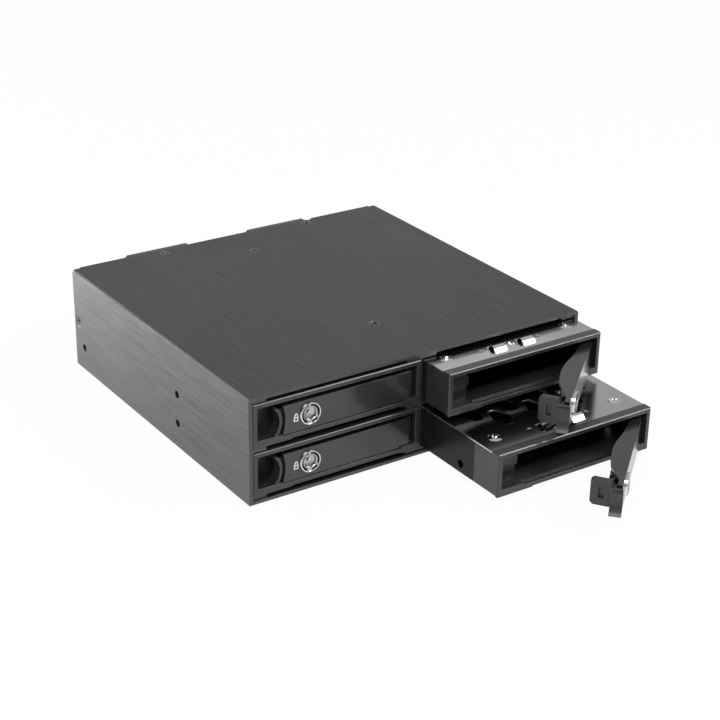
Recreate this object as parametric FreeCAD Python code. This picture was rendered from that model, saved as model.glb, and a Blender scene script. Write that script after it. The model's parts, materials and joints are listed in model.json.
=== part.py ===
import FreeCAD, Part
import math
import os

# Hot swap cage: four trays for 2.5 inch drives in one half-height 5.25 inch bay.
# Millimetres. Pieces of the housing are drawn in the case frame: x from the left
# wall, y from the front face backwards, z up from the bottom. Pieces of a tray are
# drawn in the tray frame, from the lower left front corner of its bezel. The part's
# own origin is the centre of the case's bottom face.

V = FreeCAD.Vector
X = V(1, 0, 0)
Y = V(0, 1, 0)
Z = V(0, 0, 1)

# ---- housing ----
rear_space = 15.0          # from the backplane board's front to the case's rear
wall = 1.5                 # side walls of the shell
cover = 1.3                # top of the shell, and the base plate
edge_chamfer = 0.6
divider_web = 1.0
rail_width = 6.0
low_rail = 1.4             # heights of the guide rails
mid_rail = 1.75
top_rail = 1.35
rail_setback = 0.8         # rails start this far behind the front face
run_gap = 0.15             # a tray in its rails
fit_gap = 0.05             # pieces that are fitted together
panel_sheet = 1.0          # rear panel
flange_depth = 8.0
side_flange = (8.0, 8.2)   # from the case's bottom and below its ceiling
rear_screws = (-33.1, 35.2)     # top screws in the flange, from the middle
corner_notch = (3.4, 0.8)  # rear corners of the shell's top
rear_notch = (38.0, 2.2, 1.5)   # from the middle, half width, depth
screw_relief = 6.0         # gap in the middle rails for the upper side screws

# ---- tray ----
tray_width = 70.7
tray_height = 16.9
tray_tail = 0.6            # tray behind the drive
cheek_depth = 14.0         # side blocks of the bezel
post = 1.85                # left post of the bezel
strip = 1.8                # right strip of the bezel
brow_depth = 4.0           # top strip in front of the top plate, and the sill below
brow = 1.7                 # height of the top strip
sill = 2.7
lip_depth = 1.2            # front lip under the bezel
lip = 0.4
lip_notch = (16.0, 62.0)   # where the front lip is left out
floor_skin = 1.0
plate_sheet = 0.6
plate_drop = 0.3           # top plate below the bezel's top
shelf = 1.7                # bezel shelf under the top plate
bezel_chamfer = 0.4
carrier_sheet = 0.4
carrier_flange = 3.0
drive_front = 12.1
drive_length = 100.2
drive_holes = (14.0, 90.6)      # from the drive's connector end
drive_hole_height = 3.0
drive_hole = 3.2
stake = 2.0                # square heat stakes that hold the carrier to the bezel
stake_pitch = 20.0

# ---- vents, springs and screws of the top plate ----
vent_half_width = 3.8
vent_half_length = 6.1
vent_half_flat = 1.5
vent_pitch = 8.0
vent_row_pitch = 7.9
vent_rows = 4
vent_first = 23.8
dimple = 1.6
dimple_x = 13.3            # either side of the middle
dimple_y = 11.0
spring_width = 5.4
spring_x = 6.6             # middle of each leaf spring, either side of the middle
spring_front = 5.2
spring_foot = 1.2
spring_span = 5.9
spring_rise = 1.6          # above the top plate
spring_sheet = 0.25
plate_screw_x = 28.0       # either side of the middle
plate_screw_y = 12.0
middle_screw_y = 9.8

# ---- door: u runs from the hinge pin to the free end, t inwards from its face ----
door_inset = 0.4
door_gap = 0.2             # below the door
door_gap_top = 0.9
hinge_inset = 4.7          # pin from the right side of the tray
hinge_t = 2.0
pin_radius = 0.8
pin_low = 0.9
recess_width = 13.25       # from the tray's left side to the door's free end
door_neck = 1.9
door_skin = 1.8
door_wall = 1.3
door_end_radius = 17.0
door_lip = (4.0, 1.3, 1.4, 0.7)    # start, reach past the door's end, thickness and drop
neck = 2.75                # thin part of the door at its free end
belly_shares = ((0.16, 4.3), (0.32, 5.4), (0.44, 6.7), (0.56, 7.2), (0.68, 6.9), (0.8, 6.0), (0.92, 3.6))
spring_rib = 1.6           # rib that the latch spring pushes on
spring_room = 7.5
door_rib = (13.0, 14.2)

# ---- latch ----
grip_radius = 8.5
grip_sheet = 1.1
grip_gap = 1.5             # between the grip and the door's end
grip_proud = 0.5
grip_depth = 3.9
bridge_t = 2.2
bridge_half = 3.2
tab_setback = 2.55         # outer face of the tab, behind the grip
tab_sheet = 2.2
tab_gap = 0.25             # above and below the tab, inside the door's height
tab_corner = 1.0
tab_t = (3.4, 11.4)
catch_t = 7.6
catch_half = (0.95, 2.1)   # pocket of the tab, half sizes along t and z
catch_pocket = 1.1
catch_fit = 0.3            # between the pocket and the bezel's nib, each way
catch_gap = 0.15           # between the tab's face and the nib
tail_t = (4.8, 5.8)
tail_length = 20.2         # from the tab's outer face to the spring's end
tail_seat = 1.5
bar_gap = 3.05             # from the tab's inner face to the bar that the lock holds
tail_gap = 0.35            # between the tail and the door's inner walls
tail_strip = 1.1
latch_out = 0.9            # travel towards the catch
latch_in = 1.0             # travel when the grip is pressed
spring_folds = 3
spring_strip = 0.4
strip_gap = 0.95           # between the spring and the door's inner walls
strip_t = 3.1
strip_width = 3.0

# ---- lock ----
lock_inset = 10.0          # from the door's free end
ring_radius = 4.25
lock_wall = 0.9            # boss round the barrel
ring_proud = 1.0
barrel_radius = 3.6
barrel_depth = 4.2
barrel_proud = 0.8
hub_radius = 2.3
cam_gap = 0.4              # between the cam's tip and the door's inner walls
cam_width = 2.4
keyway = (1.3, 4.0, 2.4)   # width, height, depth

# ---- backplane ----
socket_depth = 11.8
board_sheet = 1.6
board_edge = 0.6           # board inside the walls
air_slot = 22.0            # slots for air in the board and in the carriers' floors
board_slot = (9.5, 4.5)    # level in the bay and height
slot_margin = 14.0         # floor slots from the carrier's ends
socket_width = 38.0
socket_height = 5.8
socket_offset = -4.8       # from the middle of the tray
socket_centre = 3.5        # above the drive's bottom face
socket_slot = (34.0, 2.2, 5.0)
drive_end_gap = 0.4
data_size = (16.0, 6.4)
power_size = (24.0, 7.0)
port_levels = (13.0, 29.0)
port_proud = 1.5
port_inset = 12.0          # data ports from the side walls' inner faces
port_wall = 1.2
port_depth = 6.0
tongue_margin = 1.6
tongue_sheet = 1.2

# ---- fans ----
fan_size = 30.0
fan_depth = 10.0
fan_bore = 14.0
fan_pitch = 24.0
fan_level = 23.0
fan_offset = {"left": -30.0, "right": 27.5}     # from the middle
fan_hub = 7.0
fan_strut = 1.6
strut_depth = 2.0
blade_count = 7
blade_sheet = 0.8
blade_tip = 13.0
blade_half = 3.4
blade_angle = 38.0
fan_shaft = 1.0
rotor_gap = 0.6

# ---- screws ----
m3 = 1.5
csk_head = 2.6
csk_depth = 1.1
pan_head = 2.8
pan_height = 1.6
m2 = 0.8
m2_head = 1.7
m2_head_height = 1.1
board_thread = 5.0
plate_head = 2.7
plate_head_rise = 0.3
sides = 8                  # flat sides of small fasteners and their holes
drum_sides = 14            # of the fans' hubs
ring_sides = 24            # of the lock rings, the bores for the barrels and the fans

# ---- interface to the computer's bay ----
side_holes = ((52.3, 9.93), (131.55, 9.93), (52.3, 21.84))    # y and z

# ---- derived places ----
tray_length = drive_front + drive_length + tray_tail
socket_front = drive_front + drive_length + drive_end_gap
board_front = socket_front + socket_depth
case_depth = board_front + rear_space
hinge_x = tray_width - hinge_inset
door_end = hinge_x - recess_width
grip_front = door_end + grip_gap
tab_radius = grip_front - tab_setback
tail_bar = tab_radius - tab_sheet - bar_gap
tail_end = tab_radius - tail_length
spring_seat = (tail_end - spring_room - spring_rib, tail_end - spring_room)
lock_u = door_end - lock_inset
neck_start = door_end - neck
belly = [(share * neck_start, depth) for share, depth in belly_shares]
bay_width = tray_width + 2 * run_gap
case_width = 2 * wall + 2 * bay_width + divider_web
lower_z = cover + low_rail + run_gap
upper_z = lower_z + tray_height + 2 * run_gap + mid_rail
case_height = upper_z + tray_height + run_gap + top_rail + cover
left_x = wall + run_gap
right_x = wall + bay_width + divider_web + run_gap
middle_x = case_width / 2
fan_x = {side: middle_x + offset for side, offset in fan_offset.items()}
port_x = {"data": (wall + port_inset, case_width - wall - port_inset), "power": (sum(fan_x.values()) / 2,)}
ceiling = case_height - cover
plate_top = tray_height - plate_drop
plate_seat = plate_top - plate_sheet
shelf_under = plate_seat - shelf
tray_middle = tray_width / 2
drive_floor = lip + carrier_sheet
door_low = sill + door_gap
door_high = shelf_under - door_gap_top
door_middle = (door_low + door_high) / 2
door_half = (door_high - door_low) / 2
door_room = door_half - door_wall       # inside the door, either side of its middle
tab_half = door_half - tab_gap
tail_half = door_room - tail_gap
strip_half = door_room - strip_gap
cam_reach = door_room - cam_gap
hinge_y = door_inset + hinge_t
pin_high = plate_seat - 0.3
board_rear = board_front + board_sheet
panel_front = case_depth - panel_sheet

# Each bay: x and z of its tray frame, how far the tray stands out, and the door's angle.
bays = {
    "upper_left": (left_x, upper_z, 0.0, 0.0),
    "lower_left": (left_x, lower_z, 0.0, 0.0),
    "upper_right": (right_x, upper_z, 15.5, 41.0),
    "lower_right": (right_x, lower_z, 45.5, 41.0),
}


# ---- helpers ----
def box(x0, x1, y0, y1, z0, z1):
    return Part.makeBox(x1 - x0, y1 - y0, z1 - z0, V(x0, y0, z0))


def rod(radius, length, start, axis):
    return Part.makeCylinder(radius, length, start, axis)


def fuse(shapes):
    body = shapes[0].multiFuse(shapes[1:])
    return body.removeSplitter()


def edges_along(shape, axis, test):
    """Straight edges parallel to an axis whose middle passes the test."""
    found = []
    for edge in shape.Edges:
        if len(edge.Vertexes) != 2:
            continue
        along = edge.Vertexes[1].Point.sub(edge.Vertexes[0].Point)
        if along.Length < 1e-6 or abs(along.normalize().dot(axis)) < 0.999:
            continue
        if test(edge.CenterOfMass):
            found.append(edge)
    return found


def flat(corners):
    return Part.Face(Part.makePolygon(corners + corners[:1]))


def turned(stations, start, axis, sides):
    """Turned form with flat sides, which keeps the many small fasteners and holes light.

    Stations are (distance along the axis, radius) pairs.
    """
    across = Z if abs(axis.z) < 0.5 else X
    beside = axis.cross(across)
    rings = []
    for distance, radius in stations:
        angles = [(number + 0.5) * 2 * math.pi / sides for number in range(sides)]
        rings.append([start + axis * distance + across * (radius * math.cos(angle))
                      + beside * (radius * math.sin(angle)) for angle in angles])
    faces = [flat(rings[0]), flat(rings[-1])]
    for near, far in zip(rings, rings[1:]):
        for a in range(sides):
            b = (a + 1) % sides
            faces.append(flat([near[a], near[b], far[b], far[a]]))
    solid = Part.Solid(Part.Shell(faces))
    if solid.Volume < 0:
        solid.reverse()
    return solid


def csk_screw(thread, start, axis):
    """Countersunk screw: the head's flat face at start, the shank along the axis."""
    return turned([(0, csk_head), (csk_depth, m3), (thread, m3)], start, axis, sides)


def csk_hole(depth, start, axis):
    """Countersunk clearance hole, which starts just outside the surface."""
    slope = (csk_head - m3) / csk_depth
    wide = csk_head + fit_gap + slope * fit_gap
    stations = [(-fit_gap, wide), (csk_depth, m3 + fit_gap), (depth, m3 + fit_gap)]
    return turned(stations, start, axis, sides)


def pan_screw(head, height, shank, length, start, axis):
    """Pan head screw: underside of the head at start, the shank along the axis."""
    stations = [(-height, head * 0.8), (0, head), (0, shank), (length, shank)]
    return turned(stations, start, axis, sides)


def hole(radius, length, start, axis):
    """Clearance hole for a small screw."""
    return turned([(0, radius + fit_gap), (length, radius + fit_gap)], start, axis, sides)


def bore(radius, length, start, axis, sides):
    """Flat-sided hole that goes round a pin or barrel of this radius."""
    corner = (radius + fit_gap) / math.cos(math.pi / sides)
    return turned([(0, corner), (length, corner)], start, axis, sides)


# ---- housing ----
def rail_levels():
    return [(cover, cover + low_rail),
            (upper_z - run_gap - mid_rail, upper_z - run_gap),
            (ceiling - top_rail, ceiling)]


def rails(x0, x1):
    return [box(x0, x1, rail_setback, board_front, low, high) for low, high in rail_levels()]


def top_screw_places():
    """Place and threaded depth below the cover of each screw in the top."""
    flange_y = panel_front - flange_depth / 2 + 1.5
    places = [(middle_x + offset, flange_y, panel_sheet) for offset in rear_screws]
    return places + [(middle_x, 31.4, top_rail), (middle_x, board_front - 5.1, top_rail)]


def side_screw_places():
    y = panel_front - flange_depth / 2 + 1.5
    return [(0.0, y, 20.4, X), (case_width, y, 20.4, X * -1)]


def base_screw_places():
    inset = wall + rail_width / 2
    xs = (inset, middle_x, case_width - inset)
    return [(x, y) for x in xs for y in (18.0, board_front - 12.5)]


def mount_holes():
    return [rod(m3, case_width + 2, V(-1, y, z), X) for y, z in side_holes]


def housing_shell():
    body = box(0, case_width, 0, case_depth, 0, case_height)
    top_edges = edges_along(body, Y, lambda p: p.z > case_height - 1e-3)
    body = body.makeChamfer(edge_chamfer, top_edges)
    body = body.cut(box(wall, case_width - wall, -1, case_depth + 1, -1, ceiling))
    left = rails(wall, wall + rail_width)
    right = rails(case_width - wall - rail_width, case_width - wall)
    body = fuse([body] + left + right)
    width, depth = corner_notch
    for x in (-1, case_width - width):
        body = body.cut(box(x, x + width + 1, case_depth - depth, case_depth + 1, ceiling, case_height + 1))
    for y, z in side_holes:
        if z > upper_z - run_gap - mid_rail:
            half = screw_relief / 2
            low, high = rail_levels()[1]
            for x in (wall, case_width - wall - rail_width):
                body = body.cut(box(x, x + rail_width, y - half, y + half, low, high))
    offset, half, depth = rear_notch
    x = middle_x + offset
    corners = [V(x - half, case_depth + 1, ceiling - 1), V(x + half, case_depth + 1, ceiling - 1),
               V(x + half, case_depth, ceiling - 1), V(x, case_depth - depth, ceiling - 1),
               V(x - half, case_depth, ceiling - 1)]
    cuts = mount_holes() + [flat(corners).extrude(Z * (cover + 2))]
    cuts += [csk_hole(cover + thread, V(x, y, case_height), Z * -1)
             for x, y, thread in top_screw_places() if x != middle_x]
    cuts += [csk_hole(cover + 0.5, V(x, y, case_height), Z * -1)
             for x, y, thread in top_screw_places() if x == middle_x]
    cuts += [csk_hole(wall + 1, V(x, y, z), axis) for x, y, z, axis in side_screw_places()]
    cuts += [hole(m3, low_rail + 1, V(x, y, cover - 0.5), Z)
             for x, y in base_screw_places() if x != middle_x]
    cuts += [hole(m2, board_thread + 0.5, V(x, board_front + 0.5, z), Y * -1)
             for x, z in board_screw_places() if abs(x - middle_x) > bay_width / 2]
    for cut in cuts:
        body = body.cut(cut)
    return body


def base_plate():
    body = box(wall + fit_gap, case_width - wall - fit_gap, 0, case_depth, 0, cover)
    for x, y in base_screw_places():
        body = body.cut(csk_hole(cover + 1, V(x, y, 0), Z))
    return body


def centre_divider():
    half = divider_web / 2
    web = box(middle_x - half, middle_x + half, rail_setback, board_front, cover, ceiling)
    body = fuse([web] + rails(middle_x - half - rail_width, middle_x + half + rail_width))
    cuts = [hole(m3, top_rail + 0.5, V(x, y, ceiling + 0.5), Z * -1)
            for x, y, thread in top_screw_places() if x == middle_x]
    cuts += [hole(m3, low_rail + 0.5, V(x, y, cover - 0.5), Z)
             for x, y in base_screw_places() if x == middle_x]
    cuts += [hole(m2, board_thread + 0.5, V(x, board_front + 0.5, z), Y * -1)
             for x, z in board_screw_places() if abs(x - middle_x) < bay_width / 2]
    for cut in cuts:
        body = body.cut(cut)
    return body


def port_places(kind):
    return [(x, z) for x in port_x[kind] for z in port_levels]


def rear_panel():
    x0 = wall + fit_gap
    x1 = case_width - x0
    z0 = cover + fit_gap
    sheet = box(x0, x1, panel_front, case_depth, z0, ceiling)
    top_flange = box(x0 + 10, x1 - 10, panel_front - flange_depth, panel_front, ceiling - panel_sheet, ceiling)
    flanges = [box(x, x + panel_sheet, panel_front - flange_depth, panel_front,
                   side_flange[0], ceiling - side_flange[1])
               for x in (x0, x1 - panel_sheet)]
    body = fuse([sheet, top_flange] + flanges)
    cuts = []
    for x in fan_x.values():
        cuts.append(bore(fan_bore, 4, V(x, panel_front - 1, fan_level), Y, ring_sides))
        for dx, dz in fan_corners():
            cuts.append(hole(m3, 4, V(x + dx, panel_front - 1, fan_level + dz), Y))
    for kind, size in (("data", data_size), ("power", power_size)):
        half_x = size[0] / 2 + run_gap
        half_z = size[1] / 2 + run_gap
        for x, z in port_places(kind):
            cuts.append(box(x - half_x, x + half_x, panel_front - 1, case_depth + 1, z - half_z, z + half_z))
    cuts += [hole(m3, 4, V(x, y, ceiling + 1), Z * -1)
             for x, y, thread in top_screw_places() if x != middle_x]
    cuts += [hole(m3, 4, V(x, y, z), axis) for x, y, z, axis in side_screw_places()]
    for cut in cuts:
        body = body.cut(cut)
    return body


def cover_screws():
    screws = [csk_screw(cover + thread - 0.1, V(x, y, case_height), Z * -1)
              for x, y, thread in top_screw_places()]
    screws += [csk_screw(wall + panel_sheet, V(x, y, z), axis) for x, y, z, axis in side_screw_places()]
    return screws


def base_screws():
    return [csk_screw(cover + low_rail - 0.1, V(x, y, 0), Z) for x, y in base_screw_places()]


# ---- backplane ----
def board_screw_places():
    """On the ends of the middle rails, two at the walls and two at the divider."""
    z = upper_z - run_gap - mid_rail / 2
    inset = wall + rail_width / 2
    beside = divider_web / 2 + rail_width / 2
    return [(inset, z), (middle_x - beside, z), (middle_x + beside, z), (case_width - inset, z)]


def backplane_board():
    x0 = wall + board_edge
    low = cover + low_rail + board_edge
    high = ceiling - top_rail - board_edge
    body = box(x0, case_width - x0, board_front, board_rear, low, high)
    cuts = [hole(m2, 4, V(x, board_front - 1, z), Y) for x, z in board_screw_places()]
    level, height = board_slot
    for x, z, out, angle in bays.values():
        cx = x + tray_middle
        cuts.append(box(cx - air_slot / 2, cx + air_slot / 2, board_front - 1, board_rear + 1,
                        z + level, z + level + height))
    return body.cut(Part.makeCompound(cuts))


def board_screws():
    return [pan_screw(m2_head, m2_head_height, m2, board_sheet + board_thread - 0.5, V(x, board_rear, z), Y * -1)
            for x, z in board_screw_places()]


def drive_connectors():
    sockets = []
    slot_width, slot_height, slot_depth = socket_slot
    for x, z, out, angle in bays.values():
        cx = x + tray_middle + socket_offset
        cz = z + drive_floor + socket_centre
        half_x = socket_width / 2
        half_z = socket_height / 2
        body = box(cx - half_x, cx + half_x, socket_front, board_front, cz - half_z, cz + half_z)
        half_x = slot_width / 2
        half_z = slot_height / 2
        body = body.cut(box(cx - half_x, cx + half_x, socket_front - 1, socket_front + slot_depth,
                            cz - half_z, cz + half_z))
        sockets.append(body)
    return sockets


def port_shell(x, z, size):
    """Board header open to the rear, with a contact tongue inside."""
    half_x = size[0] / 2
    half_z = size[1] / 2
    rear = case_depth + port_proud
    body = box(x - half_x, x + half_x, board_rear, rear, z - half_z, z + half_z)
    half_x -= port_wall
    half_z -= port_wall
    body = body.cut(box(x - half_x, x + half_x, rear - port_depth, rear + 1, z - half_z, z + half_z))
    half_x -= tongue_margin
    half_z = tongue_sheet / 2
    return fuse([body, box(x - half_x, x + half_x, rear - port_depth - 0.5, rear - 1, z - half_z, z + half_z)])


def data_connectors():
    return [port_shell(x, z, data_size) for x, z in port_places("data")]


def power_connectors():
    return [port_shell(x, z, power_size) for x, z in port_places("power")]


# ---- fans ----
def fan_corners():
    half = fan_pitch / 2
    return [(dx, dz) for dx in (-half, half) for dz in (-half, half)]


def fan_frame(x):
    half = fan_size / 2
    rear = case_depth + fan_depth
    body = box(x - half, x + half, case_depth, rear, fan_level - half, fan_level + half)
    body = body.makeChamfer(1.2, edges_along(body, Y, lambda p: True))
    body = body.cut(bore(fan_bore, fan_depth + 2, V(x, case_depth - 1, fan_level), Y, ring_sides))
    disc = turned([(0, fan_hub), (strut_depth, fan_hub)], V(x, rear - strut_depth, fan_level), Y, drum_sides)
    struts = []
    for turn in (30, 150, 270):
        strut = box(x, x + fan_bore + 0.6, rear - strut_depth, rear, fan_level - fan_strut / 2,
                    fan_level + fan_strut / 2)
        strut.rotate(V(x, 0, fan_level), Y, turn)
        struts.append(strut)
    body = fuse([body, disc] + struts)
    for dx, dz in fan_corners():
        body = body.cut(hole(m3, fan_depth + 2, V(x + dx, case_depth - 1, fan_level + dz), Y))
    return body


def fan_rotor(x):
    front = case_depth + rotor_gap
    depth = fan_depth - strut_depth - 2 * rotor_gap
    hub = turned([(0, fan_hub), (depth, fan_hub)], V(x, front, fan_level), Y, drum_sides)
    shaft = turned([(0, fan_shaft), (depth + rotor_gap - 0.1, fan_shaft)], V(x, front, fan_level), Y, sides)
    blades = []
    for number in range(blade_count):
        blade = box(fan_hub - 1, blade_tip, -blade_half, blade_half, -blade_sheet / 2, blade_sheet / 2)
        blade.rotate(V(0, 0, 0), X, 90 - blade_angle)
        blade.translate(V(x, front + depth / 2, fan_level))
        blade.rotate(V(x, 0, fan_level), Y, number * 360 / blade_count)
        blades.append(blade)
    return fuse([hub, shaft] + blades)


def fan_screws():
    rear = case_depth + fan_depth
    return [pan_screw(pan_head, pan_height, m3, fan_depth + panel_sheet, V(x + dx, rear, fan_level + dz), Y * -1)
            for x in fan_x.values() for dx, dz in fan_corners()]


# ---- bezel, carrier and top plate, in the tray frame ----
def spring_middles():
    return (tray_middle - spring_x, tray_middle + spring_x)


def plate_screw_places():
    return [(tray_middle - plate_screw_x, plate_screw_y), (tray_middle + plate_screw_x, plate_screw_y),
            (tray_middle, middle_screw_y)]


def stake_places():
    return [(tray_middle + dx, (brow_depth + cheek_depth) / 2) for dx in (-stake_pitch, 0, stake_pitch)]


def stake_block(x, y, gap, top):
    half = stake / 2 + gap
    return box(x - half, x + half, y - half, y + half, lip, top)


def tongue(gap):
    """Front tongue of the carrier, under the bezel's floor."""
    half = tray_middle - 6 + gap
    return box(tray_middle - half, tray_middle + half, brow_depth + 1 - gap, cheek_depth + gap,
               lip, lip + carrier_sheet)


def catch_wall():
    """Back wall of the finger recess; its end carries the nib that holds the latch."""
    y = door_inset + catch_t
    reach = hinge_x - tab_radius + 1
    pivot = V(hinge_x, hinge_y, 0)
    body = box(post - 0.1, reach, y - 0.75, y + 0.75, lip + floor_skin - 0.1, shelf_under + 0.1)
    body = body.cut(rod(tab_radius + latch_out + 0.3, tray_height, pivot, Z))
    half_t = catch_half[0] - catch_fit
    half_z = catch_half[1] - catch_fit
    nib = box(post + 4, reach + 1, y - half_t, y + half_t, door_middle - half_z, door_middle + half_z)
    nib = nib.cut(rod(tab_radius + catch_gap, tray_height, pivot, Z))
    return fuse([body, nib])


def bezel():
    inner = tray_width - strip
    body = box(0, tray_width, 0, cheek_depth, 0, tray_height)
    outer = edges_along(body, Z, lambda p: p.y < 1e-3)
    outer += edges_along(body, X, lambda p: p.y < 1e-3 and p.z > tray_height - 1e-3)
    body = body.makeChamfer(bezel_chamfer, outer)
    cuts = [box(-1, tray_width + 1, brow_depth, cheek_depth + 1, plate_seat, tray_height + 1),
            box(-1, tray_width + 1, lip_depth, cheek_depth + 1, -1, lip),
            box(lip_notch[0], lip_notch[1], -1, cheek_depth, -1, lip),
            door_box(door_lip[0] - 1, door_end + door_lip[1], -1, door_lip[2] + 0.1,
                     sill - door_lip[3], sill + 0.1),
            box(post, inner, -1, brow_depth + 0.1, sill, tray_height - brow),
            box(post, inner, brow_depth, drive_front, lip + floor_skin, shelf_under),
            box(carrier_sheet, tray_width - carrier_sheet, drive_front - 0.1, cheek_depth + 1,
                drive_floor, shelf_under),
            tongue(fit_gap)]
    cuts += [hole(m3, shelf + 1, V(x, y, shelf_under - 0.5), Z) for x, y in plate_screw_places()]
    for x in spring_middles():
        half = spring_width / 2 + run_gap
        depth = 2 * spring_foot + spring_span + 2 * run_gap
        cuts.append(box(x - half, x + half, spring_front - run_gap, spring_front - run_gap + depth,
                        plate_seat - 0.4, plate_seat + 0.1))
    for cut in cuts:
        body = body.cut(cut)
    stakes = [stake_block(x, y, 0, drive_floor + 0.1) for x, y in stake_places()]
    body = fuse([body, catch_wall()] + stakes)
    for low, high in ((pin_low, sill + 0.1), (shelf_under - 0.1, pin_high)):
        body = body.cut(bore(pin_radius, high - low + fit_gap, V(hinge_x, hinge_y, low - fit_gap), Z, sides))
    return body


def carrier():
    inner = tray_width - carrier_sheet
    front = cheek_depth
    pan = box(0, tray_width, front, tray_length, lip, plate_seat)
    pan = pan.cut(box(carrier_sheet, inner, front - 1, tray_length + 1, drive_floor,
                      plate_seat - carrier_sheet))
    pan = pan.cut(box(carrier_flange, tray_width - carrier_flange, front - 1, tray_length + 1,
                      drive_floor, plate_seat + 1))
    body = fuse([pan, tongue(0)])
    half = air_slot / 2
    cuts = [box(tray_middle - half, tray_middle + half, y, y + air_slot, 0, 2)
            for y in (cheek_depth + slot_margin, tray_length - slot_margin - air_slot)]
    cuts += [stake_block(x, y, fit_gap, drive_floor + 1) for x, y in stake_places()]
    connector_end = drive_front + drive_length
    for distance in drive_holes:
        cuts.append(hole(drive_hole / 2, tray_width + 2,
                         V(-1, connector_end - distance, drive_floor + drive_hole_height), X))
    for cut in cuts:
        body = body.cut(cut)
    return body


def vent(x, y):
    corners = [V(x + sx * a, y + sy * b, plate_seat - 1) for sx, sy, a, b in
               ((1, 0, vent_half_width, 0), (1, 1, vent_half_flat, vent_half_length),
                (-1, 1, vent_half_flat, vent_half_length), (-1, 0, vent_half_width, 0),
                (-1, -1, vent_half_flat, vent_half_length), (1, -1, vent_half_flat, vent_half_length))]
    return flat(corners).extrude(Z * (plate_sheet + 2))


def vents():
    shapes = []
    for row in range(vent_rows):
        y = vent_first + row * vent_row_pitch
        offsets = (-2, 0, 2) if row % 2 == 0 else (-3, -1, 1, 3)
        shapes += [vent(tray_middle + step * vent_pitch, y) for step in offsets]
    return shapes


def top_plate():
    body = box(2 * fit_gap, tray_width - 2 * fit_gap, brow_depth + fit_gap, tray_length,
               plate_seat, plate_top)
    cuts = vents()
    for x in spring_middles():
        half = spring_width / 2 + run_gap
        front = spring_front + spring_foot - run_gap
        cuts.append(box(x - half, x + half, front, front + spring_span + 2 * run_gap,
                        plate_seat - 1, plate_top + 1))
    for x, y in plate_screw_places():
        stations = [(-0.1, plate_head + 0.1 + fit_gap),
                    (plate_sheet + 0.1, plate_head - plate_sheet - 0.1 + fit_gap)]
        cuts.append(turned(stations, V(x, y, plate_top), Z * -1, sides))
    for x in (tray_middle - dimple_x, tray_middle + dimple_x):
        stations = [(-0.1, dimple), (plate_sheet / 2, dimple / 2)]
        cuts.append(turned(stations, V(x, dimple_y, plate_top), Z * -1, sides))
    for cut in cuts:
        body = body.cut(cut)
    return body


def leaf_springs():
    low = plate_seat - 0.35
    high = low + spring_sheet
    arch = ((0, 0), (0.15, 0.55), (0.35, 0.92), (0.5, 1), (0.65, 0.92), (0.85, 0.55), (1, 0))
    rise = plate_top + spring_rise - high
    y0 = spring_front
    y1 = y0 + spring_foot
    y2 = y1 + spring_span
    springs = []
    for x in spring_middles():
        x0 = x - spring_width / 2
        outline = [V(x0, y0, high)]
        outline += [V(x0, y1 + spring_span * along, high + rise * up) for along, up in arch]
        outline += [V(x0, y2 + spring_foot, high), V(x0, y2 + spring_foot, low)]
        span = spring_span - 2 * spring_sheet
        outline += [V(x0, y1 + spring_sheet + span * along, low + rise * up)
                    for along, up in reversed(arch)]
        outline.append(V(x0, y0, low))
        springs.append(flat(outline).extrude(X * spring_width))
    return springs


def plate_screws():
    screws = []
    for x, y in plate_screw_places():
        stations = [(-plate_head_rise, plate_head - 2 * plate_head_rise), (0, plate_head),
                    (plate_sheet, plate_head - plate_sheet), (plate_sheet, m3), (plate_sheet + shelf, m3)]
        screws.append(turned(stations, V(x, y, plate_top), Z * -1, sides))
    return screws


def hinge_pin():
    return rod(pin_radius, pin_high - pin_low, V(hinge_x, hinge_y, pin_low), Z)


# ---- door, latch and lock, drawn with the door shut ----
def at(u, t, z=0.0):
    return V(hinge_x - u, door_inset + t, z)


def door_box(u0, u1, t0, t1, z0, z1):
    return box(hinge_x - u1, hinge_x - u0, door_inset + t0, door_inset + t1, z0, z1)


def lever():
    z = door_low
    height = door_high - door_low
    far = door_end + 2
    points = [at(0, 0, z), at(far, 0, z), at(far, door_neck, z), at(neck_start, door_neck, z)]
    points += [at(u, t, z) for u, t in reversed(belly)] + [at(0, 2 * hinge_t, z)]
    knuckle = Part.Arc(at(0, 2 * hinge_t, z), at(-hinge_t, hinge_t, z), at(0, 0, z)).toShape()
    body = Part.Face(Part.Wire([Part.makePolygon(points), knuckle])).extrude(Z * height)
    low = door_low + door_wall
    high = door_high - door_wall
    hollows = [door_box(u0, u1, door_skin, 9, low, high) for u0, u1 in
               ((5.0, door_rib[0]), (door_rib[1], spring_seat[0]), (spring_seat[1], neck_start - 0.5))]
    body = body.cut(Part.makeCompound(hollows))
    start, reach, thickness, drop = door_lip
    front_lip = door_box(start, door_end + reach, 0, thickness, z - drop, z + 0.1)
    boss_half = barrel_radius + lock_wall
    boss = door_box(lock_u - boss_half, lock_u + boss_half, door_skin - 0.1, barrel_depth,
                    low - 0.1, high + 0.1)
    body = fuse([body, boss, front_lip])
    cuts = [bore(barrel_radius, 8, at(lock_u, -1, door_middle), Y, ring_sides),
            rod(pin_radius + 2 * fit_gap, height + 2, at(0, hinge_t, z - 1), Z),
            rod(door_end_radius, 8, at(door_end + door_end_radius, -1, door_middle), Y)]
    for cut in cuts:
        body = body.cut(cut)
    return body


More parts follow.
